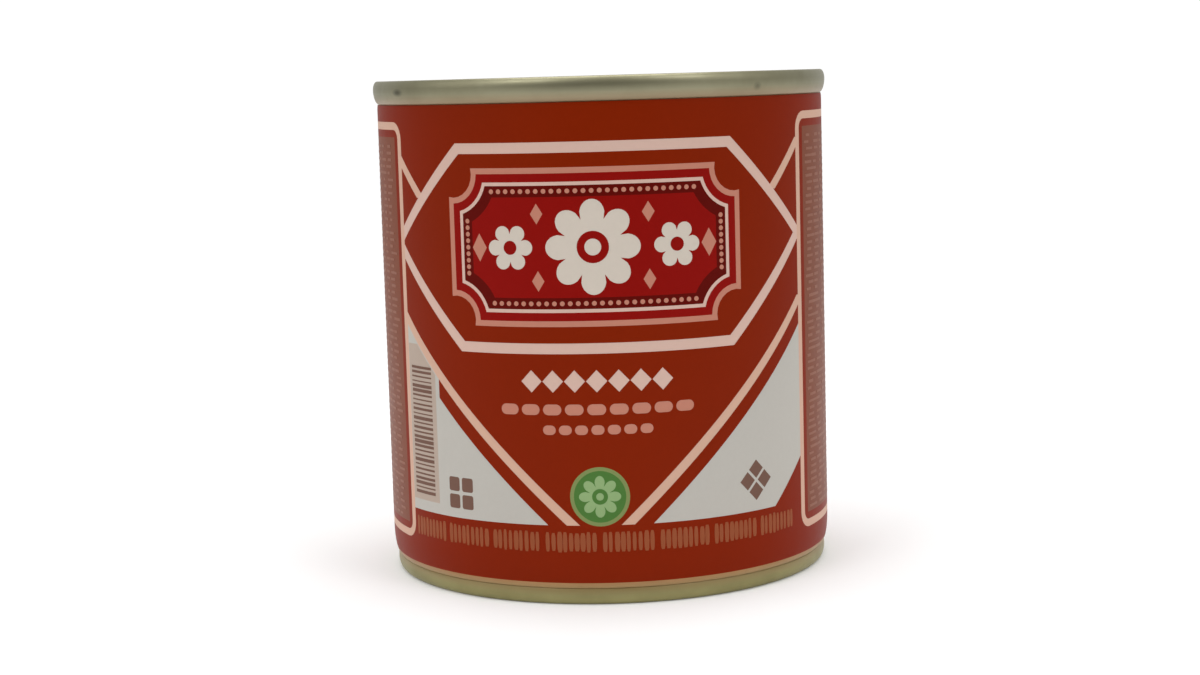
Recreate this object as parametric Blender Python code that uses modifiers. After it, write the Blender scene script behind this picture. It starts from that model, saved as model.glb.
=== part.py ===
"""Shut tinplate can of condensed milk: a printed round wall between two ends that are rolled onto it.

The can stands on the XY plane, centred on the Z axis, and the front of its label faces -Y. Units are metres.
A section is a list of (radius, depth) points, with depth measured inwards from the nearer rim.
"""

import math
from typing import NamedTuple

import bpy


class SeamedEnd(NamedTuple):
    """The sizes that differ between the two ends, and between the edges of the wall that they close."""

    seam_radius: float
    seam_height: float
    seam_undercut: float
    lip_radius: float
    neck_height: float


# Driving dimensions
CAN_HEIGHT = 0.0825
WALL_RADIUS = 0.0375
TOP = SeamedEnd(
    seam_radius=0.0381, seam_height=0.0039, seam_undercut=0.0010, lip_radius=0.0374, neck_height=0.0008
)
BOTTOM = SeamedEnd(
    seam_radius=0.0369, seam_height=0.0026, seam_undercut=0.00025, lip_radius=0.0367, neck_height=0.0040
)

# The double seam: its crown rounds down to the widest line, and the rest curls in by the undercut to meet the wall
SEAM_THICKNESS = 0.00145
CROWN_OUTER = (0.00075, 0.00145)
CROWN_INNER = (0.0004, 0.0005)

# The pressed end inside its seam
CHUCK_WALL_TAPER = 0.0003
COUNTERSINK_DEPTH = 0.0036
GROOVE_RADIUS = 0.0007
PANEL_DEPTH = 0.0028
UNDERSIDE_DEPTH = 0.0044

# Rings pressed into the panel, from the outermost: radius of the step, and how much the panel is raised inside it
PANEL_STEPS = ((0.0306, -0.0005), (0.0252, 0.0005), (0.0198, 0.0004))
PANEL_STEP_WIDTH = 0.0012

# The lip is the edge of the wall that stands up round the end's plug
LIP_THICKNESS = 0.0003
GAP = 0.0003

# How finely the round shapes are cut
FACETS = 72
ARC_STEPS = 3
CURL_STEPS = 4
PANEL_STEP_POINTS = 2
NECK_STEPS = 4
MERGE_DISTANCE = 0.00001
SHARP_ANGLE = math.radians(50)


def clear_scene():
    for old in list(bpy.data.objects):
        bpy.data.objects.remove(old)


def finish(name, colour, roughness, metallic):
    """A Principled material of one colour."""
    material = bpy.data.materials.new(name)
    material.use_nodes = True
    shader = material.node_tree.nodes["Principled BSDF"]
    shader.inputs["Base Color"].default_value = (*colour, 1.0)
    shader.inputs["Roughness"].default_value = roughness
    shader.inputs["Metallic"].default_value = metallic
    return material


def arc(centre, radii, start, end, steps=ARC_STEPS):
    """Points of an elliptical arc, with its angles in degrees from outwards towards deeper."""
    points = []
    for i in range(steps + 1):
        angle = math.radians(start + (end - start) * i / steps)
        points.append((centre[0] + radii[0] * math.cos(angle), centre[1] + radii[1] * math.sin(angle)))
    return points


def eased(start, end, steps):
    """Points that lead from one point to another and run level at both."""
    points = []
    for i in range(steps + 1):
        share = i / steps
        rise = share * share * (3 - 2 * share)
        points.append((start[0] + (end[0] - start[0]) * share, start[1] + (end[1] - start[1]) * rise))
    return points


def panel_section():
    """The pressed panel, from its centre out to the groove."""
    depths = [PANEL_DEPTH]
    for _, raised in PANEL_STEPS:
        depths.append(depths[-1] - raised)
    points = [(0.0, depths[-1])]
    for i in reversed(range(len(PANEL_STEPS))):
        radius = PANEL_STEPS[i][0]
        inside = (radius - PANEL_STEP_WIDTH / 2, depths[i + 1])
        outside = (radius + PANEL_STEP_WIDTH / 2, depths[i])
        points += eased(inside, outside, PANEL_STEP_POINTS)
    return points


def end_section(end):
    """A whole end: panel, groove, chuck wall, seam, and the flat plug behind the panel."""
    inner_wall = end.seam_radius - SEAM_THICKNESS
    groove = inner_wall - CHUCK_WALL_TAPER - GROOVE_RADIUS
    points = panel_section()
    points += eased((groove - 2 * GROOVE_RADIUS, PANEL_DEPTH), (groove, COUNTERSINK_DEPTH), PANEL_STEP_POINTS)
    points += arc((groove, COUNTERSINK_DEPTH - GROOVE_RADIUS), (GROOVE_RADIUS, GROOVE_RADIUS), 60, 0, 2)
    points += arc((inner_wall + CROWN_INNER[0], CROWN_INNER[1]), CROWN_INNER, 180, 270)
    points += arc((end.seam_radius - CROWN_OUTER[0], CROWN_OUTER[1]), CROWN_OUTER, 270, 360)
    widest_depth = CROWN_OUTER[1]
    curl = (end.seam_undercut, end.seam_height - widest_depth)
    points += arc((end.seam_radius - end.seam_undercut, widest_depth), curl, 0, 90, CURL_STEPS)
    plug_radius = end.lip_radius - LIP_THICKNESS - GAP
    points += [(plug_radius, end.seam_height), (plug_radius, UNDERSIDE_DEPTH), (0.0, UNDERSIDE_DEPTH)]
    return points


def wall_edge_section(end):
    """The wall at one end, from the axis: the floor under the plug, the lip round it and the neck."""
    floor = UNDERSIDE_DEPTH + GAP
    lip_depth = end.seam_height + GAP
    lip_inside = end.lip_radius - LIP_THICKNESS
    points = [(0.0, floor), (lip_inside, floor), (lip_inside, lip_depth)]
    shoulder = (end.lip_radius, lip_depth + end.neck_height)
    points += arc(shoulder, (WALL_RADIUS - end.lip_radius, end.neck_height), 270, 360, NECK_STEPS)
    return points


def turned(name, section, material, collection):
    """A solid turned about Z from (radius, z) points that run out from the axis, down and back to the axis."""
    outline = bpy.data.meshes.new(name + "_outline")
    edges = [(i, i + 1) for i in range(len(section) - 1)]
    outline.from_pydata([(radius, 0.0, z) for radius, z in section], edges, [])
    solid = bpy.data.objects.new(name, outline)
    collection.objects.link(solid)
    screw = solid.modifiers.new("Turn", "SCREW")
    screw.axis = "Z"
    screw.steps = FACETS
    screw.render_steps = FACETS
    screw.use_merge_vertices = True
    screw.merge_threshold = MERGE_DISTANCE

    turned_mesh = bpy.data.meshes.new_from_object(solid.evaluated_get(bpy.context.evaluated_depsgraph_get()))
    solid.modifiers.clear()
    solid.data = turned_mesh
    bpy.data.meshes.remove(outline)
    turned_mesh.name = name
    turned_mesh.materials.clear()
    turned_mesh.materials.append(material)
    turned_mesh.shade_smooth()
    turned_mesh.set_sharp_from_angle(angle=SHARP_ANGLE)
    return solid


def below_top_rim(section):
    return [(radius, CAN_HEIGHT - depth) for radius, depth in section]


def above_bottom_rim(section):
    return [(radius, depth) for radius, depth in reversed(section)]


def build():
    clear_scene()
    can = bpy.data.collections.new("condensed_milk_can")
    bpy.context.scene.collection.children.link(can)
    print_enamel = finish("printed_enamel", (0.205, 0.020, 0.004), 0.38, 0.0)
    tinplate = finish("lacquered_tinplate", (0.56, 0.51, 0.33), 0.28, 1.0)

    wall = below_top_rim(wall_edge_section(TOP)) + above_bottom_rim(wall_edge_section(BOTTOM))
    turned("can_body", wall, print_enamel, can)
    turned("top_end", below_top_rim(end_section(TOP)), tinplate, can)
    turned("bottom_end", above_bottom_rim(end_section(BOTTOM)), tinplate, can)


build()
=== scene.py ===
"""Looks of a shut tinplate can of condensed milk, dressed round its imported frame.

The wall is a lithographed sheet: its print is laid out flat in millimetres, cut into one mesh with the wall
and rolled up. Both ends are turned from their sections, and Geometry Nodes set out what repeats on the wall.
"""

import math
from typing import NamedTuple

import bmesh
import bpy
from mathutils import Matrix, Vector
from mathutils.geometry import delaunay_2d_cdt


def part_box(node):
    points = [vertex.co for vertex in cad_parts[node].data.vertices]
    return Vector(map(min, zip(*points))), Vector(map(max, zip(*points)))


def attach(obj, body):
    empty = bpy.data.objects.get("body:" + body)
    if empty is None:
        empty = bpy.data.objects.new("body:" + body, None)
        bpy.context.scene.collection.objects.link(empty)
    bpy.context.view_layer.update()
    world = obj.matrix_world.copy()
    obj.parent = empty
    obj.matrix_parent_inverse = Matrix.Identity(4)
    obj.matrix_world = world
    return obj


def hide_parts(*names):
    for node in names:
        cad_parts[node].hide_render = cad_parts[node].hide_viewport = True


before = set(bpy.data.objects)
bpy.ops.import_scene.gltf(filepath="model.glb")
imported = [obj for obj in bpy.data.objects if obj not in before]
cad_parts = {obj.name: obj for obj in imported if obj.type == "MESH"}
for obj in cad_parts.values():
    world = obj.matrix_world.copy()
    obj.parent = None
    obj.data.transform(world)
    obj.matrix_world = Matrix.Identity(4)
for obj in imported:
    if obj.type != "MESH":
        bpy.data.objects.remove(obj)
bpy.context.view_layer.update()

MM = 0.001

# Sizes that the frame gives, in millimetres
CAN_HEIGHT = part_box("top_end")[1].z / MM
WALL_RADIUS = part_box("can_body")[1].x / MM


class SeamedEnd(NamedTuple):
    """The sizes that differ between the two ends, in millimetres, as the frame's solids have them."""

    node: str
    seam_height: float
    undercut: float
    lip_radius: float
    neck_height: float

    def seam_radius(self):
        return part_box(self.node)[1].x / MM


TOP = SeamedEnd("top_end", seam_height=3.9, undercut=1.0, lip_radius=37.4, neck_height=0.8)
BOTTOM = SeamedEnd("bottom_end", seam_height=2.6, undercut=0.25, lip_radius=36.7, neck_height=4.0)
SEAM_THICKNESS = 1.45
CROWN_OUTER, CROWN_INNER = (0.75, 1.45), (0.4, 0.5)
CHUCK_WALL_TAPER, COUNTERSINK_DEPTH, GROOVE_RADIUS = 0.3, 3.6, 0.7
PANEL_DEPTH, UNDERSIDE_DEPTH = 2.8, 4.4
PANEL_STEPS = ((30.6, -0.5), (25.2, 0.5), (19.8, 0.4))
PANEL_STEP_WIDTH = 1.2
LIP_THICKNESS, GAP = 0.3, 0.3

# The wall's outside reaches closer to the seams than the frame's does, so that no dark slit shows
LIP_GAP = 0.02

# The print on the unrolled wall: millimetres across from the front's centre line and up from the table
ROUND = 2 * math.pi * WALL_RADIUS
PRINT_BOTTOM, PRINT_TOP = 3.58, 78.75
FACE_CENTRES = (0.0, ROUND / 2)
WELD_AT, WELD_MARGIN, WELD_HALF_WIDTH = -76.1, 2.3, 0.45
BARE_BELOW, BARE_ABOVE = 0.5, 0.3
SIDE_PANELS = ((39.2, ROUND / 2 - 37.6), (-72.4, -37.6))

# How finely the round shapes are cut, and the angle from which an end's edges are sharp
WALL_FACETS = 240
END_FACETS = 256
END_SHARP_ANGLE = math.radians(60)

# The share of the wall's flat map that is kept for the hidden floor at each end
MAP_EDGE = 0.04


def linear(red, green, blue):
    """A colour picked from a screen, 0 to 255, as linear light."""
    shades = []
    for value in (red / 255, green / 255, blue / 255):
        shades.append(value / 12.92 if value <= 0.04045 else ((value + 0.055) / 1.055) ** 2.4)
    return (*shades, 1.0)


BROWN = linear(132, 33, 0)
CREAM = linear(217, 184, 170)
WARM_CREAM = linear(214, 174, 152)
FIELD_WHITE = linear(193, 189, 181)
CRIMSON = linear(142, 14, 8)
MAROON = linear(96, 10, 4)
SALMON = linear(196, 132, 112)
MILK_WHITE = linear(214, 203, 190)
HAZE_BROWN = linear(130, 74, 54)
FINE_PRINT = linear(148, 98, 80)
BAND_PRINT = linear(152, 82, 52)
GREEN = linear(78, 122, 58)
PALE_GREEN = linear(130, 144, 88)
LEAF_GREEN = linear(146, 176, 122)
BAR_BROWN = linear(118, 88, 76)
BAR_STRIP = linear(186, 168, 154)
TOP_TIN, TOP_TIN_SHADE = linear(172, 168, 140), linear(120, 116, 88)
# Painted reflection: the tan that the brown wall gives low on the top seam's curl
TOP_PAINTED_REFLECTION = linear(146, 120, 88)
BOTTOM_TIN, BOTTOM_TIN_SHADE = linear(170, 164, 114), linear(120, 112, 72)
# Painted shade: the darker gold in the crease where the bottom seam meets the wall
BOTTOM_PAINTED_SHADE = linear(150, 130, 82)
MARGIN_TIN, MARGIN_TIN_SHADE = linear(182, 142, 100), linear(150, 112, 72)
MARGIN_SHADOW = linear(166, 136, 88)
SMUDGE = linear(66, 62, 44)
WELD_GREY = linear(118, 112, 98)


class Signal:
    """A socket that carries a value. Arithmetic on it adds Math nodes to its graph."""

    def __init__(self, graph, socket):
        self.graph = graph
        self.socket = socket

    def math(self, operation, *values):
        return self.graph.node("ShaderNodeMath", {"operation": operation}, dict(enumerate(values)))

    def __add__(self, other):
        return self.math("ADD", self, other)

    def __sub__(self, other):
        return self.math("SUBTRACT", self, other)

    def __rsub__(self, other):
        return self.math("SUBTRACT", other, self)

    def __mul__(self, other):
        return self.math("MULTIPLY", self, other)

    def __truediv__(self, other):
        return self.math("DIVIDE", self, other)

    def __rtruediv__(self, other):
        return self.math("DIVIDE", other, self)

    def __pow__(self, other):
        return self.math("POWER", self, other)

    def __mod__(self, other):
        return self.math("MODULO", self, other)

    __radd__ = __add__
    __rmul__ = __mul__

    def sine(self):
        return self.math("SINE", self)

    def cosine(self):
        return self.math("COSINE", self)

    def floor(self):
        return self.math("FLOOR", self)

    def root(self):
        return self.math("SQRT", self)

    def clamped(self):
        return self.math("MINIMUM", self.math("MAXIMUM", self, 0.0), 1.0)

    def parts(self):
        """The x, y and z of a vector."""
        return [self.graph.node("ShaderNodeSeparateXYZ", {}, {0: self}, out) for out in range(3)]


class Graph:
    """A material's or a shape's node tree, written as expressions."""

    def __init__(self, tree):
        self.tree = tree

    def node(self, kind, settings, sockets, out=0):
        """Adds a node, with its settings first and then the values or links of its sockets."""
        node = self.tree.nodes.new(kind)
        for name, value in settings.items():
            if name == "stops":
                self.set_stops(node.color_ramp, value)
            else:
                setattr(node, name, value)
        for name, value in sockets.items():
            if isinstance(value, Signal):
                self.tree.links.new(value.socket, node.inputs[name])
            else:
                node.inputs[name].default_value = value
        return Signal(self, node.outputs[out])

    @staticmethod
    def set_stops(ramp, stops):
        """Gives a ramp its stops, each a position and a grey level."""
        while len(ramp.elements) < len(stops):
            ramp.elements.new(1.0)
        for element, (position, level) in zip(ramp.elements, stops):
            element.position = position
            element.color = (level, level, level, 1.0)

    def vector(self, x, y, z):
        return self.node("ShaderNodeCombineXYZ", {}, {0: x, 1: y, 2: z})


class Finish(Graph):
    """A Principled material. Its constant values are set on the shader's own sockets."""

    def __init__(self, name, **constants):
        self.material = bpy.data.materials.new(name)
        self.material.use_nodes = True
        super().__init__(self.material.node_tree)
        self.shader = self.tree.nodes["Principled BSDF"]
        for socket, value in constants.items():
            self.shader.inputs[socket.replace("_", " ")].default_value = value

    def place(self):
        return self.node("ShaderNodeTexCoord", {}, {}, "Object")

    def noise(self, place, scale, detail=2.0, roughness=0.5):
        sockets = {"Vector": place, "Scale": scale, "Detail": detail, "Roughness": roughness}
        return self.node("ShaderNodeTexNoise", {}, sockets)

    def ramp(self, value, *stops):
        return self.node("ShaderNodeValToRGB", {"stops": stops}, {0: value})

    def mix(self, share, first, second):
        """A colour between two, by a share that varies."""
        return self.node("ShaderNodeMix", {"data_type": "RGBA"}, {0: share, 6: first, 7: second}, 2)

    def shaded(self, colour, shade):
        """A colour made lighter or darker by a factor that varies."""
        sockets = {0: colour[:3], "Scale": shade}
        return self.node("ShaderNodeVectorMath", {"operation": "SCALE"}, sockets)

    def drive(self, socket, signal):
        self.tree.links.new(signal.socket, self.shader.inputs[socket])

    def bump(self, height, distance, strength=1.0):
        sockets = {"Height": height, "Distance": distance, "Strength": strength}
        self.drive("Normal", self.node("ShaderNodeBump", {}, sockets))


def printed(name, colour, mottle=0.10, roughness=0.40):
    """Ink under varnish on tinplate: the ink is faintly mottled, and the varnish has a fine orange peel."""
    finish = Finish(name, Specular_IOR_Level=0.06)
    place = finish.place()
    cloud = finish.noise(place, 55.0, 3.0)
    grain = finish.noise(place, 1400.0, 2.0)
    peel = finish.noise(place, 420.0, 1.0)
    shade = 1.0 + (cloud - 0.5) * mottle + (grain - 0.5) * mottle * 0.7
    finish.drive("Base Color", finish.shaded(colour, shade))
    finish.drive("Roughness", roughness + (cloud - 0.5) * 0.12 + (grain - 0.5) * 0.06)
    finish.bump(peel, 0.02 * MM)
    return finish.material


def tinplate(name, colour, shade_colour, roughness=0.34, painted_shade_and_reflection=None, smudges=()):
    """Bare tinplate under a thin gold lacquer, with fine lines left round the axis by rolling and seaming.

    The tint beside the join of seam and wall is painted shade, and on the top seam a painted reflection of
    the brown wall;
    the metal is made less metallic there. It is given as the radius that it lies outside of, the heights
    between which it deepens, and the painted colour. A smudge is a dark spot: the point of the surface that
    it is centred on, its half width and half height, and how strongly it tints the metal.
    """
    finish = Finish(name, Coat_Weight=0.15, Coat_Roughness=0.15)
    place = finish.place()
    x, y, z = place.parts()
    radius = (x * x + y * y).root()
    metal = 0.92 + 0.08 * finish.noise(place, 60.0, 1.0)
    turned_place = finish.vector(radius, z, 0.0)
    lines = finish.noise(turned_place, 3000.0, 2.0, 0.5)
    bands = finish.noise(turned_place, 700.0, 2.0)
    cloud = finish.noise(place, 90.0, 3.0)
    haze = finish.ramp(finish.noise(place, 130.0, 3.0, 0.55), (0.40, 0.0), (0.80, 1.0))
    share = (0.30 * cloud + 0.40 * bands + 0.30 * haze).clamped()
    tint = finish.mix(share, colour, shade_colour)
    # Painted shade and painted reflection by the seam's join with the wall: the tint deepens between two
    # heights, and the metal turns less metallic
    if painted_shade_and_reflection:
        inner_radius, start, end, painted_crease_colour = painted_shade_and_reflection
        outside = ((radius - inner_radius) / (0.2 * MM)).clamped()
        depth = outside * ((z - start) / (end - start)).clamped()
        tint = finish.mix(depth * 0.9, tint, painted_crease_colour)
        metal = metal * (1.0 - 0.75 * depth)
    for (centre_x, centre_y, centre_z), half_width, half_height, strength in smudges:
        across = ((x - centre_x) ** 2.0 + (y - centre_y) ** 2.0).root() / half_width
        up = (z - centre_z) / half_height
        tint = finish.mix((1.3 - (across * across + up * up).root()).clamped() * strength, tint, SMUDGE)
    finish.drive("Base Color", tint)
    finish.drive("Metallic", metal)
    finish.drive("Roughness", roughness + 0.10 * haze + (lines - 0.5) * 0.14)
    finish.bump(lines * 0.6 + bands * 0.4, 0.006 * MM)
    return finish.material


def weld_metal(name):
    """The bare mash weld: dark, with heat tint across it."""
    finish = Finish(name, Metallic=1.0)
    place = finish.place()
    cloud = finish.noise(place, 300.0, 3.0)
    grain = finish.noise(place, 2600.0, 2.0)
    finish.drive("Base Color", finish.mix(cloud, WELD_GREY, linear(150, 132, 102)))
    finish.drive("Roughness", 0.38 + (grain - 0.5) * 0.2)
    finish.bump(grain, 0.02 * MM)
    return finish.material


def floor_finish(name, near, far):
    """White paper, faintly lit from within, that fades into the surround between two distances."""
    finish = Finish(name, Roughness=0.9, Specular_IOR_Level=0.0, Emission_Strength=FLOOR_GLOW)
    place = finish.place()
    x, y, z = place.parts()
    grain = finish.noise(place, 900.0, 2.0)
    finish.drive("Base Color", finish.shaded((0.9, 0.9, 0.9), 1.0 + (grain - 0.5) * 0.01))
    distance = (x * x + y * y).root()
    finish.drive("Alpha", finish.ramp((distance - near) / (far - near), (0.0, 1.0), (1.0, 0.0)))
    return finish.material


def on_seam(end_radius, turn, depth):
    """A point of the top seam, by its turn in degrees from the front and its depth below the rim."""
    angle = math.radians(turn)
    return (end_radius * MM * math.sin(angle), -end_radius * MM * math.cos(angle), (CAN_HEIGHT - depth) * MM)


# Two small dark spots on the top seam, low on its rounded outside
RIM_SMUDGES = (
    (on_seam(TOP.seam_radius(), -55.6, 1.9), 1.5 * MM, 0.55 * MM, 0.75),
    (on_seam(TOP.seam_radius(), 43.1, 2.4), 0.8 * MM, 0.6 * MM, 0.45),
)

INKS = {
    # The bare margin takes a painted shadow, darker towards the bottom seam
    "tin_margin": tinplate(
        "tin_margin", MARGIN_TIN, MARGIN_TIN_SHADE, 0.42, (0.0, 3.5 * MM, 2.8 * MM, MARGIN_SHADOW)
    ),
    "brown": printed("brown_print", BROWN),
    "cream": printed("cream_line", CREAM, 0.06),
    "warm": printed("warm_cream_line", WARM_CREAM, 0.06),
    "field": printed("white_field", FIELD_WHITE, 0.06),
    "haze": printed("panel_brown", HAZE_BROWN, 0.12),
    "crimson": printed("crimson_print", CRIMSON),
    "maroon": printed("maroon_print", MAROON),
    "salmon": printed("salmon_line", SALMON, 0.06),
    "milk": printed("milk_white", MILK_WHITE, 0.06),
    "green": printed("green_print", GREEN),
    "pale_green": printed("pale_green_print", PALE_GREEN),
    "leaf": printed("leaf_green_print", LEAF_GREEN),
    "dark": printed("dark_mark", BAR_BROWN),
    "strip": printed("bar_strip", BAR_STRIP, 0.06),
    "weld": weld_metal("weld_line"),
}
TOP_END_TIN = tinplate(
    "top_end_tin", TOP_TIN, TOP_TIN_SHADE, 0.42,
    # Painted reflection of the brown wall, deepening down to the seam's lower edge
    painted_shade_and_reflection=(36.9 * MM, (CAN_HEIGHT - 2.2) * MM, (CAN_HEIGHT - TOP.seam_height) * MM, TOP_PAINTED_REFLECTION),
    smudges=RIM_SMUDGES,
)
BOTTOM_END_TIN = tinplate(
    "bottom_end_tin", BOTTOM_TIN, BOTTOM_TIN_SHADE, 0.44,
    # Painted shade in the crease, deepening up towards the wall's neck
    painted_shade_and_reflection=(35.8 * MM, 1.4 * MM, (BOTTOM.seam_height - 0.3) * MM, BOTTOM_PAINTED_SHADE),
)
FINE_INK = printed("fine_print", FINE_PRINT, 0.06)
BAND_INK = printed("band_print", BAND_PRINT, 0.06)


def arc(centre, radii, start, end, steps):
    """Points of an elliptical arc, with its angles in degrees from the first axis to the second."""
    points = []
    for i in range(steps + 1):
        angle = math.radians(start + (end - start) * i / steps)
        points.append((centre[0] + radii[0] * math.cos(angle), centre[1] + radii[1] * math.sin(angle)))
    return points


def eased(start, end, steps):
    """Points that lead from one point to another and run level at both."""
    points = []
    for i in range(steps + 1):
        share = i / steps
        rise = share * share * (3 - 2 * share)
        points.append((start[0] + (end[0] - start[0]) * share, start[1] + (end[1] - start[1]) * rise))
    return points


def end_section(end):
    """A whole end as (radius, depth below its rim) points: panel, groove, chuck wall, seam and plug."""
    depths = [PANEL_DEPTH]
    for _, raised in PANEL_STEPS:
        depths.append(depths[-1] - raised)
    points = [(0.0, depths[-1])]
    for i in reversed(range(len(PANEL_STEPS))):
        radius = PANEL_STEPS[i][0]
        inside = (radius - PANEL_STEP_WIDTH / 2, depths[i + 1])
        outside = (radius + PANEL_STEP_WIDTH / 2, depths[i])
        points += eased(inside, outside, 6)
    seam_radius = end.seam_radius()
    inner_wall = seam_radius - SEAM_THICKNESS
    groove = inner_wall - CHUCK_WALL_TAPER - GROOVE_RADIUS
    points += eased((groove - 2 * GROOVE_RADIUS, PANEL_DEPTH), (groove, COUNTERSINK_DEPTH), 6)
    points += arc((groove, COUNTERSINK_DEPTH - GROOVE_RADIUS), (GROOVE_RADIUS, GROOVE_RADIUS), 75, 0, 5)
    points += arc((inner_wall + CROWN_INNER[0], CROWN_INNER[1]), CROWN_INNER, 180, 270, 6)
    points += arc((seam_radius - CROWN_OUTER[0], CROWN_OUTER[1]), CROWN_OUTER, 270, 360, 8)
    widest_depth = CROWN_OUTER[1]
    curl = (end.undercut, end.seam_height - widest_depth)
    points += arc((seam_radius - end.undercut, widest_depth), curl, 0, 90, 14)
    plug = end.lip_radius - LIP_THICKNESS - GAP
    points += [(plug, end.seam_height), (plug, UNDERSIDE_DEPTH), (0.0, UNDERSIDE_DEPTH)]
    return points


def neck_section(end):
    """The wall's neck as (radius, depth below the rim) points, from its lip to the straight wall."""
    lip = end.seam_height + LIP_GAP
    shoulder = end.seam_height + GAP + end.neck_height
    return arc((end.lip_radius, shoulder), (WALL_RADIUS - end.lip_radius, shoulder - lip), 270, 360, 12)


class ShapeTree(Graph):
    """A Geometry Nodes tree with named inputs, which a modifier sets by their identifiers."""

    def __init__(self, name, **inputs):
        super().__init__(bpy.data.node_groups.new(name, "GeometryNodeTree"))
        self.tree.interface.new_socket("Geometry", in_out="INPUT", socket_type="NodeSocketGeometry")
        self.tree.interface.new_socket("Geometry", in_out="OUTPUT", socket_type="NodeSocketGeometry")
        self.identifiers = {}
        for label, kind in inputs.items():
            socket = self.tree.interface.new_socket(label, in_out="INPUT", socket_type="NodeSocket" + kind)
            self.identifiers[label] = socket.identifier
        self.start = self.tree.nodes.new("NodeGroupInput")

    def given(self, label):
        return Signal(self, self.start.outputs[label])

    def end(self, geometry, finish):
        """Realizes the instances, sets the material and closes the tree."""
        real = self.node("GeometryNodeRealizeInstances", {}, {0: geometry})
        painted = self.node("GeometryNodeSetMaterial", {}, {"Geometry": real, "Material": finish})
        out = self.tree.nodes.new("NodeGroupOutput")
        self.tree.links.new(painted.socket, out.inputs[0])

    def applied(self, mesh, **values):
        """The plain mesh that the tree makes of one mesh."""
        carrier = bpy.data.objects.new(mesh.name, mesh)
        bpy.context.scene.collection.objects.link(carrier)
        modifier = carrier.modifiers.new(self.tree.name, "NODES")
        modifier.node_group = self.tree
        for label, value in values.items():
            modifier[self.identifiers[label]] = value
        depsgraph = bpy.context.evaluated_depsgraph_get()
        made = bpy.data.meshes.new_from_object(carrier.evaluated_get(depsgraph))
        bpy.data.objects.remove(carrier)
        return made


def turning_tree():
    """Turns a section, drawn in the XZ plane at its true radii, round the Z axis."""
    tree = ShapeTree(
        "turn_section", Facets="Int", Guide_radius="Float", Weld_distance="Float", Finish="Material"
    )
    guide_radius = tree.given("Guide_radius")
    lay_flat = {
        "Geometry": tree.given("Geometry"),
        "Translation": tree.vector(0.0 - guide_radius, 0.0, 0.0),
        "Rotation": (math.pi / 2, 0.0, 0.0),
    }
    section = tree.node("GeometryNodeMeshToCurve", {}, {0: tree.node("GeometryNodeTransform", {}, lay_flat)})
    circle = {"Resolution": tree.given("Facets"), "Radius": guide_radius}
    guide = tree.node("GeometryNodeCurvePrimitiveCircle", {}, circle)
    swept = tree.node("GeometryNodeCurveToMesh", {}, {"Curve": guide, "Profile Curve": section})
    weld = {"Geometry": swept, "Distance": tree.given("Weld_distance")}
    tree.end(tree.node("GeometryNodeMergeByDistance", {}, weld), tree.given("Finish"))
    return tree


def repeating_tree():
    """Repeats one flat mark in columns and rows, and rolls the result round the wall."""
    tree = ShapeTree(
        "repeat_on_wall",
        Columns="Int", Rows="Int", Across="Float", Up="Float", Pitch_across="Float", Pitch_up="Float",
        Width="Float", Height="Float", Ink="Float", Least_width="Float", Least_height="Float", Play="Float",
        Seed="Int", Wall_radius="Float", Finish="Material",
    )
    columns, rows, seed = tree.given("Columns"), tree.given("Rows"), tree.given("Seed")

    def random_between(least, most, salt):
        sockets = {2: least, 3: most, "Seed": seed + salt}
        return tree.node("FunctionNodeRandomValue", {"data_type": "FLOAT"}, sockets, 1)

    index = tree.node("GeometryNodeInputIndex", {}, {})
    shift = random_between(0.0, tree.given("Play"), 2)
    across = tree.given("Across") + (index % columns) * tree.given("Pitch_across") + shift
    up = tree.given("Up") + (index / columns).floor() * tree.given("Pitch_up")
    places = {"Count": columns * rows, "Position": tree.vector(across, 0.0, up)}
    points = tree.node("GeometryNodePoints", {}, places)
    width = tree.given("Width") * random_between(tree.given("Least_width"), 1.0, 0)
    height = tree.given("Height") * random_between(tree.given("Least_height"), 1.0, 1)
    size = tree.vector(width, tree.given("Ink"), height)
    placed = {"Points": points, "Instance": tree.given("Geometry"), "Scale": size}
    instances = tree.node("GeometryNodeInstanceOnPoints", {}, placed)
    flat = tree.node("GeometryNodeRealizeInstances", {}, {0: instances})

    x, y, z = tree.node("GeometryNodeInputPosition", {}, {}).parts()
    wall_radius = tree.given("Wall_radius")
    angle = x / wall_radius
    radius = wall_radius - y
    rolled = tree.vector(radius * angle.sine(), 0.0 - radius * angle.cosine(), z)
    on_the_wall = tree.node("GeometryNodeSetPosition", {}, {"Geometry": flat, "Position": rolled})
    tree.end(on_the_wall, tree.given("Finish"))
    return tree


TURN = turning_tree()
REPEAT = repeating_tree()


def piece(name, mesh, slot, *nodes):
    """Puts a finished mesh in the scene as a piece of the can."""
    made = bpy.data.objects.new(name, mesh)
    mesh.name = name
    bpy.context.scene.collection.objects.link(made)
    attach(made, "root")
    if nodes:
        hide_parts(*nodes)


def unroll(mesh, heights):
    """Lays the mesh out flat for its baked maps: across by the turn round the axis, up by each height."""
    layer = mesh.uv_layers.new(name="OFBake")
    start = math.tau * WELD_AT / ROUND
    for polygon in mesh.polygons:
        middle = (math.atan2(polygon.center.x, -polygon.center.y) - start) % math.tau
        for corner in polygon.loop_indices:
            vertex = mesh.loops[corner].vertex_index
            point = mesh.vertices[vertex].co
            turn = middle
            if math.hypot(point.x, point.y) > MM:
                turn = (math.atan2(point.x, -point.y) - start) % math.tau
            turn += math.tau * round((middle - turn) / math.tau)
            layer.data[corner].uv = (turn / math.tau, heights[vertex])


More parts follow.
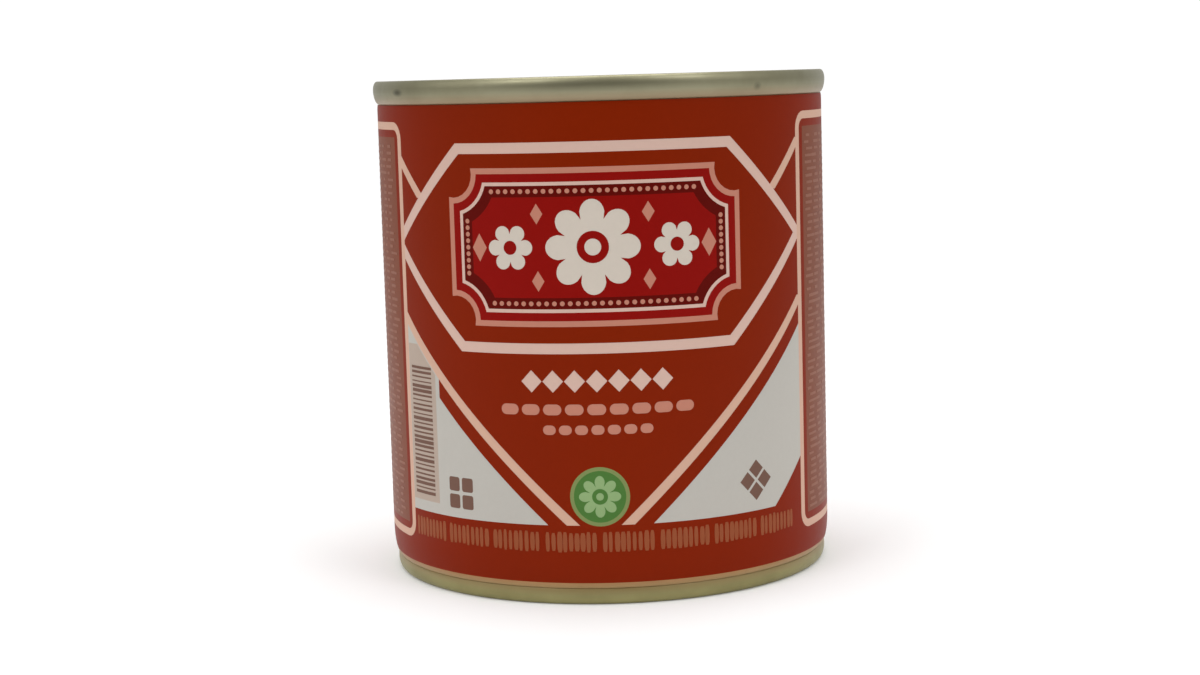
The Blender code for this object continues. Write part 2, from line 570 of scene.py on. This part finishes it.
def turned_end(name, section, end, finish):
    """One pressed and seamed end, from (radius, z) points in millimetres that run down its outer side."""
    outline = bpy.data.meshes.new(name)
    edges = [(i, i + 1) for i in range(len(section) - 1)]
    outline.from_pydata([(radius * MM, 0.0, z * MM) for radius, z in section], edges, [])
    mesh = TURN.applied(
        outline, Facets=END_FACETS, Guide_radius=WALL_RADIUS * MM, Weld_distance=0.002 * MM, Finish=finish
    )
    mesh.shade_smooth()
    mesh.set_sharp_from_angle(angle=END_SHARP_ANGLE)
    lengths = [0.0]
    for first, second in zip(section, section[1:]):
        lengths.append(lengths[-1] + math.dist(first, second))
    shares = [length / lengths[-1] for length in lengths]

    def along_section(point):
        place = (math.hypot(point.x, point.y) / MM, point.z / MM)
        nearest = min(range(len(section)), key=lambda i: math.dist(section[i], place))
        return shares[nearest]

    unroll(mesh, [along_section(vertex.co) for vertex in mesh.vertices])
    piece(name, mesh, "lacquered_tinplate", end.node)


def make_ends():
    top = [(radius, CAN_HEIGHT - depth) for radius, depth in end_section(TOP)]
    turned_end("top_end_turned", top, TOP, TOP_END_TIN)
    bottom = list(reversed(end_section(BOTTOM)))
    turned_end("bottom_end_turned", bottom, BOTTOM, BOTTOM_END_TIN)


def box(left, bottom, right, top):
    return [(left, bottom), (right, bottom), (right, top), (left, top)]


def rounded_box(left, bottom, right, top, radius):
    """A box with round corners, counterclockwise from its lower right."""
    outline = []
    near, far = left + radius, right - radius
    low, high = bottom + radius, top - radius
    for across, up, start in ((far, low, 270), (far, high, 0), (near, high, 90), (near, low, 180)):
        outline += arc((across, up), (radius, radius), start, start + 90, 6)
    return outline


def disc(across, up, radius, sides=48):
    return arc((across, up), (radius, radius), 0, 360 - 360 / sides, sides - 1)


def flower(across, up, radius, petals, waist):
    """A flower of round petals, whose outline dips to the waist, a share of its radius, between them."""
    outline = []
    steps = petals * 14
    for i in range(steps):
        angle = 2 * math.pi * i / steps
        swell = abs(math.cos(angle * petals / 2)) ** 0.55
        reach = radius * (waist + (1 - waist) * swell)
        outline.append((across + reach * math.cos(angle), up + reach * math.sin(angle)))
    return outline


def lozenge(across, up, half_width, half_height):
    return [
        (across + half_width, up),
        (across, up + half_height),
        (across - half_width, up),
        (across, up - half_height),
    ]


def slanted_line(start, end, width_across):
    """A straight line whose two ends are cut level."""
    half = width_across / 2
    return [
        (start[0] - half, start[1]),
        (start[0] + half, start[1]),
        (end[0] + half, end[1]),
        (end[0] - half, end[1]),
    ]


def inset(outline, width):
    """A convex counterclockwise outline moved inwards by a line's width, with its corners kept sharp."""
    inner = []
    count = len(outline)
    for i in range(count):
        before = Vector(outline[i]) - Vector(outline[i - 1])
        after = Vector(outline[(i + 1) % count]) - Vector(outline[i])
        first = Vector((-before.y, before.x)).normalized()
        second = Vector((-after.y, after.x)).normalized()
        shift = (first + second) * (width / (1 + first.dot(second)))
        inner.append((outline[i][0] + shift.x, outline[i][1] + shift.y))
    return inner


def mirrored(outline):
    return [(-across, up) for across, up in reversed(outline)]


# The main face's frame: a long hexagon over a wide V, with a pale field under each arm of the V
FRAME_TOP, FRAME_BOTTOM, FRAME_MIDDLE = 71.75, 40.7, 56.6
FRAME_SHOULDER, FRAME_REACH = 22.5, 38.5
FRAME_LINE = 1.65
V_FOOT, V_TIP = (4.3, 12.85), (39.2, 46.4)
V_LINE_ACROSS = 2.1
FIELD_FOOT, FIELD_TIP = 8.35, (39.2, 42.3)
FIELD_STEP = 28.4
FIELD_CUT = ((31.1, 12.85), (39.2, 20.55))
DISC_UP = 17.4
BAR_STRIP_BOX, BAR_STRIP_CLEAR = (29.3, 14.6, 36.9, 40.2), 0.3
CORNER_LINE, CORNER_LINE_ACROSS = ((31.4, 63.9), (39.2, 71.8)), 1.95
PLAQUE_CENTRE, PLAQUE_HALF_WIDTH, PLAQUE_HALF_HEIGHT, PLAQUE_SCOOP = 56.4, 23.5, 11.4, 4.6
PANEL_LINE, PANEL_BOTTOM, PANEL_TOP, PANEL_CORNER = 1.25, 7.6, 75.9, 2.8
PANEL_CLEAR = 1.2


class PrintSheet:
    """Shapes printed on the unrolled wall. A later shape covers the earlier ones."""

    def __init__(self):
        self.shapes = []

    def add(self, ink, outline, at=0.0):
        self.shapes.append((ink, [(across + at, up) for across, up in outline]))


def plaque(margin):
    """The plaque's outline inside a margin: a box with scooped corners."""
    width, height = PLAQUE_HALF_WIDTH, PLAQUE_HALF_HEIGHT
    scoop = PLAQUE_SCOOP + margin
    dip = math.degrees(math.asin(margin / scoop))
    outline = []
    corners = ((width, -height, 180), (width, height, 270), (-width, height, 0), (-width, -height, 90))
    for across, up, start in corners:
        outline += arc((across, PLAQUE_CENTRE + up), (scoop, scoop), start - dip, start - 90 + dip, 8)
    return outline


def print_plaque(sheet, at):
    """A crimson plaque with a row of flowers, in the middle of the frame."""
    sheet.add("salmon", plaque(-0.9), at)
    sheet.add("crimson", plaque(0.0), at)
    sheet.add("cream", plaque(1.3), at)
    sheet.add("maroon", plaque(1.85), at)
    sheet.add("crimson", plaque(3.6), at)
    up = PLAQUE_CENTRE
    sheet.add("milk", flower(0.0, up, 7.4, 8, 0.62), at)
    sheet.add("crimson", disc(0.0, up, 2.5, 32), at)
    sheet.add("milk", disc(0.0, up, 1.3, 24), at)
    for side in (-1, 1):
        sheet.add("milk", flower(side * 13.2, up, 3.7, 6, 0.58), at)
        sheet.add("crimson", disc(side * 13.2, up, 1.1, 20), at)
        sheet.add("salmon", lozenge(side * 18.6, up, 1.3, 2.2), at)
        for step in (-1, 1):
            sheet.add("salmon", lozenge(side * 8.7, up + step * 5.2, 1.0, 1.6), at)


def print_fields(sheet, at):
    """The pale fields under the V. The left one steps up to the V, to back the strip of bars on it."""
    slope = (FIELD_TIP[1] - V_FOOT[1]) / (FIELD_TIP[0] - FIELD_FOOT)
    step_up = V_FOOT[1] + (FIELD_STEP - FIELD_FOOT) * slope
    v_slope = (V_TIP[1] - V_FOOT[1]) / (V_TIP[0] - V_FOOT[0])
    left = [(FIELD_FOOT, V_FOOT[1]), (FIELD_TIP[0], V_FOOT[1])]
    left += [(side, V_FOOT[1] + (side - V_FOOT[0]) * v_slope) for side in (FIELD_TIP[0], FIELD_STEP)]
    left.append((FIELD_STEP, step_up))
    sheet.add("field", mirrored(left), at)
    sheet.add("field", [(FIELD_FOOT, V_FOOT[1]), *FIELD_CUT, FIELD_TIP], at)

    near, low, far, high = BAR_STRIP_BOX
    clear = V_FOOT[0] + V_LINE_ACROSS / 2 + BAR_STRIP_CLEAR
    near_high = V_FOOT[1] + (near - clear) * v_slope
    turn = clear + (high - V_FOOT[1]) / v_slope
    sheet.add("strip", mirrored([(near, low), (far, low), (far, high), (turn, high), (near, near_high)]), at)


def print_frame(sheet, at):
    """The cream lines: the V, the short corner lines and the hexagon."""
    arm = slanted_line(V_FOOT, V_TIP, V_LINE_ACROSS)
    corner = slanted_line(*CORNER_LINE, CORNER_LINE_ACROSS)
    for line in (arm, mirrored(arm), corner, mirrored(corner)):
        sheet.add("warm", line, at)
    hexagon = [
        (FRAME_REACH, FRAME_MIDDLE),
        (FRAME_SHOULDER, FRAME_TOP),
        (-FRAME_SHOULDER, FRAME_TOP),
        (-FRAME_REACH, FRAME_MIDDLE),
        (-FRAME_SHOULDER, FRAME_BOTTOM),
        (FRAME_SHOULDER, FRAME_BOTTOM),
    ]
    sheet.add("cream", inset(hexagon, -FRAME_LINE / 2), at)
    sheet.add("brown", inset(hexagon, FRAME_LINE / 2), at)


def print_marks(sheet, at):
    """The green disc at the foot of the V, and one small ornament in each field."""
    sheet.add("pale_green", disc(0.0, DISC_UP, 4.7), at)
    sheet.add("green", disc(0.0, DISC_UP, 4.1), at)
    sheet.add("leaf", flower(0.0, DISC_UP, 3.3, 8, 0.5), at)
    sheet.add("green", disc(0.0, DISC_UP, 1.25, 24), at)
    sheet.add("leaf", disc(0.0, DISC_UP, 0.6, 16), at)
    for across in (-25.6, -22.8):
        for up in (15.5, 18.3):
            sheet.add("dark", rounded_box(across - 1.15, up - 1.15, across + 1.15, up + 1.15, 0.4), at)
    for across, up in ((26.8, 19.6), (26.8, 16.0), (25.0, 17.8), (28.6, 17.8)):
        sheet.add("dark", lozenge(across, up, 1.5, 1.5), at)


def print_side_panel(sheet, left, right):
    """A tall panel between the two faces: a round-cornered line with a hazy block inside it."""
    half = PANEL_LINE / 2
    sheet.add("warm", rounded_box(left - half, PANEL_BOTTOM, right + half, PANEL_TOP, PANEL_CORNER))
    low, high = PANEL_BOTTOM + PANEL_LINE, PANEL_TOP - PANEL_LINE
    sheet.add("brown", rounded_box(left + half, low, right - half, high, PANEL_CORNER - PANEL_LINE))
    clear = half + PANEL_CLEAR
    sheet.add("haze", box(left + clear, low + PANEL_CLEAR, right - clear, high - PANEL_CLEAR))


def printed_sheet():
    """The whole print: bare tin, the brown ground, both faces, the side panels, and the bare weld strip."""
    sheet = PrintSheet()
    start = WELD_AT
    sheet.add("tin_margin", box(start, -10.0, start + ROUND, CAN_HEIGHT + 10.0))
    sheet.add("brown", box(start, PRINT_BOTTOM, start + ROUND, PRINT_TOP))
    for at in FACE_CENTRES:
        print_fields(sheet, at)
        print_frame(sheet, at)
        print_plaque(sheet, at)
        print_marks(sheet, at)
    for left, right in SIDE_PANELS:
        print_side_panel(sheet, left, right)
    bare_bottom, bare_top = PRINT_BOTTOM - BARE_BELOW, PRINT_TOP + BARE_ABOVE
    sheet.add("tin_margin", box(start, bare_bottom, start + WELD_MARGIN, bare_top))
    sheet.add("tin_margin", box(start + ROUND - WELD_MARGIN, bare_bottom, start + ROUND, bare_top))
    sheet.add("weld", box(start, bare_bottom, start + WELD_HALF_WIDTH, bare_top))
    sheet.add("weld", box(start + ROUND - WELD_HALF_WIDTH, bare_bottom, start + ROUND, bare_top))
    return sheet


def wall_rows():
    """The wall's section outside, as (z, radius) pairs from the bottom lip to the top lip."""
    rows = [(depth, radius) for radius, depth in neck_section(BOTTOM)]
    rows += [(CAN_HEIGHT - depth, radius) for radius, depth in reversed(neck_section(TOP))]
    return rows


def radius_at(rows, up):
    """The wall's radius at a height, along the straight stretches between its rows."""
    for (low, first), (high, second) in zip(rows, rows[1:]):
        if up <= high:
            return first + (second - first) * max(0.0, up - low) / (high - low)
    return rows[-1][1]


def cut_sheet(sheet, rows):
    """Cuts the shapes, the facets' edges and the rows into triangles. Returns points, faces and inks."""
    points, edges, faces = [], [], []
    bottom, top = rows[0][0], rows[-1][0]
    for _, outline in sheet.shapes:
        first = len(points)
        points += [(across, min(max(up, bottom), top)) for across, up in outline]
        faces.append(list(range(first, len(points))))
    for i in range(1, WALL_FACETS):
        across = WELD_AT + ROUND * i / WALL_FACETS
        edges.append((len(points), len(points) + 1))
        points += [(across, bottom), (across, top)]
    for up, _ in rows[1:-1]:
        edges.append((len(points), len(points) + 1))
        points += [(WELD_AT, up), (WELD_AT + ROUND, up)]
    cut = delaunay_2d_cdt([Vector(point) for point in points], edges, faces, 0, 1e-4, True)
    inks = [sheet.shapes[max(sources)][0] for sources in cut[5]]
    return cut[0], cut[2], inks


def on_wall(rows, across, up):
    """A point of the sheet on the faceted wall, in metres."""
    turn = (across - WELD_AT) / ROUND * WALL_FACETS
    facet = math.floor(turn + 1e-6)
    share = turn - facet
    radius = radius_at(rows, up) * MM
    corners = []
    for corner in (facet, facet + 1):
        angle = 2 * math.pi * corner / WALL_FACETS + WELD_AT / WALL_RADIUS
        corners.append(Vector((math.sin(angle), -math.cos(angle), 0.0)) * radius)
    return corners[0].lerp(corners[1], share) + Vector((0.0, 0.0, up * MM))


def wall_normal(rows, point):
    """The true round wall's normal at a point on it, in metres."""
    step = 0.05
    up = point.z / MM
    slope = (radius_at(rows, up + step) - radius_at(rows, up - step)) / (2 * step)
    outward = Vector((point.x, point.y, 0.0)).normalized()
    return (outward - Vector((0.0, 0.0, slope))).normalized()


def close_edge(mesh, ring, lip_radius, up, floor_up):
    """Closes the wall at one end as the frame does: down inside its lip, and across under the plug."""
    map_height = mesh.verts.layers.float["map_height"]
    flip = floor_up < up
    edge = ring[0][map_height]
    limit = 1.0 if flip else 0.0
    rings = [ring]
    inside = lip_radius - LIP_THICKNESS
    for share, height in ((1 / 3, up), (2 / 3, floor_up)):
        scaled = []
        for vertex in ring:
            outward = Vector((vertex.co.x, vertex.co.y, 0.0)).normalized() * inside * MM
            corner = mesh.verts.new((outward.x, outward.y, height * MM))
            corner[map_height] = edge + (limit - edge) * share
            scaled.append(corner)
        rings.append(scaled)
    centre = mesh.verts.new((0.0, 0.0, floor_up * MM))
    centre[map_height] = limit
    made = []
    for first, second in zip(rings, rings[1:]):
        for i in range(len(ring)):
            j = (i + 1) % len(ring)
            corners = [first[i], first[j], second[j], second[i]]
            made.append(mesh.faces.new(corners if flip else corners[::-1]))
    last = rings[-1]
    for i in range(len(ring)):
        corners = [last[i], last[(i + 1) % len(ring)], centre]
        made.append(mesh.faces.new(corners if flip else corners[::-1]))
    return made


def make_wall():
    """The printed wall: one closed mesh whose faces are cut along the print."""
    rows = wall_rows()
    low, high = rows[0][0] * MM, rows[-1][0] * MM
    points, faces, inks = cut_sheet(printed_sheet(), rows)
    names = list(INKS)
    mesh = bmesh.new()
    map_height = mesh.verts.layers.float.new("map_height")
    vertices = [mesh.verts.new(on_wall(rows, point.x, point.y)) for point in points]
    for corners, ink in zip(faces, inks):
        face = mesh.faces.new([vertices[corner] for corner in corners])
        face.material_index = names.index(ink)
    bmesh.ops.remove_doubles(mesh, verts=mesh.verts, dist=0.0005 * MM)
    bmesh.ops.dissolve_degenerate(mesh, edges=mesh.edges, dist=0.0002 * MM)
    bmesh.ops.dissolve_limit(
        mesh, angle_limit=math.radians(0.2), verts=mesh.verts, edges=mesh.edges, delimit={"MATERIAL"}
    )
    for vertex in mesh.verts:
        vertex[map_height] = MAP_EDGE + (1 - 2 * MAP_EDGE) * (vertex.co.z - low) / (high - low)
    for up, lip, floor_up in (
        (rows[0][0], BOTTOM.lip_radius, UNDERSIDE_DEPTH + GAP),
        (rows[-1][0], TOP.lip_radius, CAN_HEIGHT - UNDERSIDE_DEPTH - GAP),
    ):
        ring = [vertex for vertex in mesh.verts if abs(vertex.co.z / MM - up) < 0.001]
        ring.sort(key=lambda vertex: math.atan2(vertex.co.x, -vertex.co.y))
        for face in close_edge(mesh, ring, lip, up, floor_up):
            face.material_index = names.index("tin_margin")
    wall = bpy.data.meshes.new("printed_wall")
    mesh.to_mesh(wall)
    mesh.free()
    for name in names:
        wall.materials.append(INKS[name])
    wall.shade_smooth()
    heights = [height.value for height in wall.attributes["map_height"].data]
    wall.attributes.remove(wall.attributes["map_height"])
    unroll(wall, heights)
    normals = []
    for polygon in wall.polygons:
        outward = Vector((polygon.center.x, polygon.center.y, 0.0)).dot(polygon.normal) > 0
        outside = outward and low - 1e-6 < polygon.center.z < high + 1e-6
        for corner in polygon.vertices:
            point = wall.vertices[corner].co
            normals.append(wall_normal(rows, point) if outside else polygon.normal)
    wall.normals_split_custom_set(normals)
    piece("printed_wall", wall, "printed_enamel", "can_body")


def mark(name, outline_steps):
    """A flat mark one unit wide and high and two thick, cut into steps across so that it can be rolled."""
    mesh = bmesh.new()
    columns = []
    for across, half_height in outline_steps:
        column = []
        for depth in (-1.0, 1.0):
            column.append([mesh.verts.new((across, depth, side * half_height)) for side in (-1, 1)])
        columns.append(column)
    for left, right in zip(columns, columns[1:]):
        (front_low, front_high), (back_low, back_high) = left
        (next_front_low, next_front_high), (next_back_low, next_back_high) = right
        mesh.faces.new((front_low, next_front_low, next_front_high, front_high))
        mesh.faces.new((back_high, next_back_high, next_back_low, back_low))
        mesh.faces.new((front_high, next_front_high, next_back_high, back_high))
        mesh.faces.new((back_low, next_back_low, next_front_low, front_low))
    for column, order in ((columns[0], 1), (columns[-1], -1)):
        (front_low, front_high), (back_low, back_high) = column
        mesh.faces.new((front_low, front_high, back_high, back_low)[::order])
    bmesh.ops.remove_doubles(mesh, verts=mesh.verts, dist=1e-6)
    bmesh.ops.recalc_face_normals(mesh, faces=mesh.faces)
    made = bpy.data.meshes.new(name)
    mesh.to_mesh(made)
    mesh.free()
    return made


def bar_mark(steps):
    return mark("bar_mark", [(i / steps, 0.5) for i in range(steps + 1)])


def pill_mark(end_share, steps=4):
    """A bar with round ends, each of which takes a share of its width."""
    rounding = []
    for i in range(steps + 1):
        angle = math.pi / 2 * i / steps
        rounding.append((end_share * (1 - math.cos(angle)), 0.5 * math.sin(angle)))
    far_end = [(1 - across, half) for across, half in reversed(rounding)]
    return mark("pill_mark", rounding + far_end)


def bead_mark(steps=8):
    outline = []
    for i in range(steps + 1):
        angle = math.pi * i / steps
        outline.append(((1 - math.cos(angle)) / 2, 0.5 * math.sin(angle)))
    return mark("bead_mark", outline)


def lozenge_mark():
    return mark("lozenge_mark", [(0.0, 0.0), (0.25, 0.25), (0.5, 0.5), (0.75, 0.25), (1.0, 0.0)])


def nugget_mark(sides=8, rings=6):
    """One nugget of the weld: a low rounded bump, with its faces in a fixed order."""
    points = [(0.0, 0.0, -0.5)]
    for ring in range(1, rings):
        tilt = math.pi * ring / rings
        reach, height = 0.5 * math.sin(tilt), -0.5 * math.cos(tilt)
        for side in range(sides):
            turn = math.tau * side / sides
            points.append((reach * math.cos(turn), reach * math.sin(turn), height))
    top = len(points)
    points.append((0.0, 0.0, 0.5))
    faces = []
    for side in range(sides):
        low, beside = 1 + side, 1 + (side + 1) % sides
        faces.append((0, beside, low))
        for _ in range(rings - 2):
            faces.append((low, beside, beside + sides, low + sides))
            low, beside = low + sides, beside + sides
        faces.append((low, beside, top))
    made = bpy.data.meshes.new("nugget_mark")
    made.from_pydata(points, [], faces)
    return made


def repeated(name, slot, finish, ink, placements):
    """One piece of marks: each placement gives a mark and its grid, in millimetres, at one centre line."""
    joined = bmesh.new()
    for shape, grid in placements:
        values = {
            "Columns": grid.get("columns", 1),
            "Rows": grid.get("rows", 1),
            "Across": grid["across"] * MM,
            "Up": grid["up"] * MM,
            "Pitch_across": grid.get("pitch_across", 0.0) * MM,
            "Pitch_up": grid.get("pitch_up", 0.0) * MM,
            "Width": grid["width"] * MM,
            "Height": grid["height"] * MM,
            "Ink": ink * MM,
            "Least_width": grid.get("least_width", 1.0),
            "Least_height": grid.get("least_height", 1.0),
            "Play": grid.get("play", 0.0) * MM,
            "Seed": grid.get("seed", 0),
            "Wall_radius": WALL_RADIUS * MM,
            "Finish": finish,
        }
        made = REPEAT.applied(shape.copy(), **values)
        joined.from_mesh(made)
        bpy.data.meshes.remove(made)
    mesh = bpy.data.meshes.new(name)
    joined.to_mesh(mesh)
    joined.free()
    mesh.materials.append(finish)
    piece(name, mesh, slot)


# How far the marks stand proud of the wall, and the beads' size and place inside the plaque's edge
INK_HEIGHT, NUGGET_HEIGHT = 0.03, 0.12
BEAD_SIZE, BEAD_INSET = 0.75, 2.72
BEAD_COLUMNS, BEAD_ROWS = 27, 9


def name_rows():
    """Three ornament rows under the hexagon: a bold one of lozenges, and two of small pills under it."""
    bold, small = [], []
    for centre in FACE_CENTRES:
        lozenges = {
            "columns": 7, "across": centre - 12.0, "pitch_across": 3.45, "width": 3.3,
            "up": 35.6, "height": 3.5,
        }
        pills = {
            "columns": 9, "across": centre - 15.6, "pitch_across": 3.5, "width": 2.95,
            "up": 31.15, "height": 1.7,
        }
        short_pills = {
            "columns": 7, "across": centre - 8.7, "pitch_across": 2.55, "width": 2.05,
            "up": 27.95, "height": 1.5,
        }
        bold.append((lozenge_mark(), lozenges))
        small.append((pill_mark(0.28), pills))
        small.append((pill_mark(0.36), short_pills))
    repeated("name_lozenges", "printed_enamel", INKS["cream"], INK_HEIGHT, bold)
    repeated("name_pills", "printed_enamel", INKS["salmon"], INK_HEIGHT, small)


def plaque_beads():
    """A string of beads inside each side of the plaque's dark border."""
    placements = []
    reach = PLAQUE_HALF_WIDTH - PLAQUE_SCOOP - BEAD_INSET
    rise = PLAQUE_HALF_HEIGHT - PLAQUE_SCOOP - BEAD_INSET
    for centre in FACE_CENTRES:
        for side in (-1, 1):
            row = {
                "columns": BEAD_COLUMNS,
                "across": centre - reach - BEAD_SIZE / 2,
                "pitch_across": 2 * reach / (BEAD_COLUMNS - 1),
                "up": PLAQUE_CENTRE + side * (PLAQUE_HALF_HEIGHT - BEAD_INSET),
                "width": BEAD_SIZE,
                "height": BEAD_SIZE,
            }
            column = {
                "rows": BEAD_ROWS,
                "across": centre + side * (PLAQUE_HALF_WIDTH - BEAD_INSET) - BEAD_SIZE / 2,
                "up": PLAQUE_CENTRE - rise,
                "pitch_up": 2 * rise / (BEAD_ROWS - 1),
                "width": BEAD_SIZE,
                "height": BEAD_SIZE,
            }
            placements.append((bead_mark(), row))
            placements.append((bead_mark(), column))
    repeated("plaque_beads", "printed_enamel", INKS["salmon"], INK_HEIGHT, placements)


def bottom_band():
    """Groups of small upright pills above the bottom seam."""
    placements = []
    for centre in FACE_CENTRES:
        for group in range(8):
            grid = {
                "columns": 9, "across": centre - 36.2 + 9.1 * group, "pitch_across": 0.93,
                "width": 0.88, "least_width": 0.7, "up": 10.2, "height": 3.3, "least_height": 0.86,
                "play": 0.06, "seed": 5 + group,
            }
            placements.append((pill_mark(0.22, 2), grid))
    repeated("bottom_band", "printed_enamel", BAND_INK, INK_HEIGHT, placements)


def bar_block():
    """A stack of bars of random heights on the strip in the left field."""
    placements = []
    for centre in FACE_CENTRES:
        grid = {
            "rows": 28, "across": centre - 36.1, "width": 5.7, "up": 15.9, "pitch_up": 0.76,
            "height": 0.6, "least_height": 0.3, "seed": 11,
        }
        placements.append((bar_mark(6), grid))
    repeated("bar_block", "printed_enamel", INKS["dark"], INK_HEIGHT, placements)


def fine_print():
    """Rows of short rules in the side panels, ragged as words are."""
    placements = []
    columns = 9
    for number, (left, right) in enumerate(SIDE_PANELS):
        pitch = (right - left - 4.6) / (columns + 0.3)
        grid = {
            "columns": columns, "rows": 57, "across": left + 2.3, "pitch_across": pitch,
            "width": pitch * 0.95, "least_width": 0.4, "play": pitch * 0.35, "up": 10.9, "pitch_up": 1.09,
            "height": 0.5, "least_height": 0.75, "seed": 21 + number,
        }
        placements.append((bar_mark(4), grid))
    repeated("fine_print_rules", "printed_enamel", FINE_INK, INK_HEIGHT, placements)


def weld_nuggets():
    """The row of low bumps that the side weld leaves down the bare strip."""
    grid = {"rows": 70, "across": WELD_AT, "width": 0.75, "up": 6.2, "pitch_up": 1.02, "height": 1.15}
    repeated("weld_nuggets", "lacquered_tinplate", INKS["weld"], NUGGET_HEIGHT, [(nugget_mark(), grid)])


# The photograph's camera, fitted to the can's outlines and to the print's straight lines
CAMERA_DISTANCE, CAMERA_HEIGHT = 355.4, 82.5
CAMERA_AZIMUTH, CAMERA_YAW, CAMERA_PITCH, CAMERA_ROLL = 2.44, -0.16, 7.19, -1.65
FOCAL_PIXELS, PHOTO_WIDTH = 2079.0, 1200
SENSOR = 36.0


def make_camera():
    data = bpy.data.cameras.new("photo_camera")
    data.sensor_width = SENSOR
    data.lens = FOCAL_PIXELS / PHOTO_WIDTH * SENSOR
    data.clip_start = 0.01
    camera = bpy.data.objects.new("photo_camera", data)
    bpy.context.scene.collection.objects.link(camera)
    azimuth = math.radians(CAMERA_AZIMUTH)
    reach = CAMERA_DISTANCE * MM
    place = Vector((reach * math.sin(azimuth), -reach * math.cos(azimuth), CAMERA_HEIGHT * MM))
    turn = Matrix.Rotation(math.radians(CAMERA_AZIMUTH - CAMERA_YAW), 4, "Z")
    tilt = Matrix.Rotation(math.radians(90.0 - CAMERA_PITCH), 4, "X")
    roll = Matrix.Rotation(math.radians(CAMERA_ROLL), 4, "Z")
    camera.matrix_world = Matrix.Translation(place) @ turn @ tilt @ roll
    bpy.context.scene.camera = camera


def area_light(name, place, size, power):
    """A soft square light that faces the can's middle."""
    data = bpy.data.lights.new(name, "AREA")
    data.shape = "SQUARE"
    data.size = size
    data.energy = power
    light = bpy.data.objects.new(name, data)
    bpy.context.scene.collection.objects.link(light)
    light.location = place
    aim = Vector((0.0, 0.0, CAN_HEIGHT * MM / 2)) - Vector(place)
    light.rotation_euler = aim.to_track_quat("-Z", "Y").to_euler()
    light.visible_camera = False


# The distances between which the floor fades, its glow, and the surround's brightness in three directions
FLOOR_REACH = (0.12, 0.70)
FLOOR_GLOW = 0.10
DARK_FRONT, DIM_SIDE, BRIGHT_BACK = 0.04, 0.38, 0.62


def make_studio():
    """A pale floor that fades into a white surround, and soft light from above and both sides.

    The surround lights the can from behind and the sides, and is dark where the photographer stands.
    """
    floor_mesh = bpy.data.meshes.new("floor")
    shape = bmesh.new()
    bmesh.ops.create_circle(shape, cap_ends=True, segments=96, radius=FLOOR_REACH[1])
    shape.to_mesh(floor_mesh)
    shape.free()
    floor_mesh.materials.append(floor_finish("floor_white", *FLOOR_REACH))
    floor = bpy.data.objects.new("floor", floor_mesh)
    floor.location = (0.0, 0.0, -0.00005)
    bpy.context.scene.collection.objects.link(floor)

    area_light("overhead", (0.0, 0.1, 1.4), 1.2, 13.0)
    area_light("front_left_soft", (-0.62, -0.79, 0.95), 0.45, 2.8)
    area_light("front_right_soft", (0.74, -0.67, 0.95), 0.45, 2.4)
    area_light("left_soft", (-1.0, -0.3, 0.6), 0.8, 1.3)
    area_light("right_soft", (1.0, -0.3, 0.6), 0.8, 1.0)

    world = bpy.data.worlds.new("surround")
    bpy.context.scene.world = world
    world.use_nodes = True
    graph = Graph(world.node_tree)
    seen = graph.node("ShaderNodeLightPath", {}, {}, "Is Camera Ray")
    x, y, z = graph.node("ShaderNodeTexCoord", {}, {}, "Generated").parts()
    beside = ((y + 1.0) / 0.25).clamped()
    behind = (y * 0.5 + 0.5).clamped()
    level = DARK_FRONT + (DIM_SIDE - DARK_FRONT) * beside + (BRIGHT_BACK - DIM_SIDE) * behind * behind
    background = world.node_tree.nodes["Background"]
    world.node_tree.links.new((level + (1.02 - level) * seen).socket, background.inputs["Strength"])
    background.inputs["Color"].default_value = (1.0, 1.0, 1.0, 1.0)
    bpy.context.scene.view_settings.view_transform = "Standard"


make_camera()
make_wall()
make_ends()
name_rows()
plaque_beads()
bottom_band()
bar_block()
fine_print()
weld_nuggets()
make_studio()
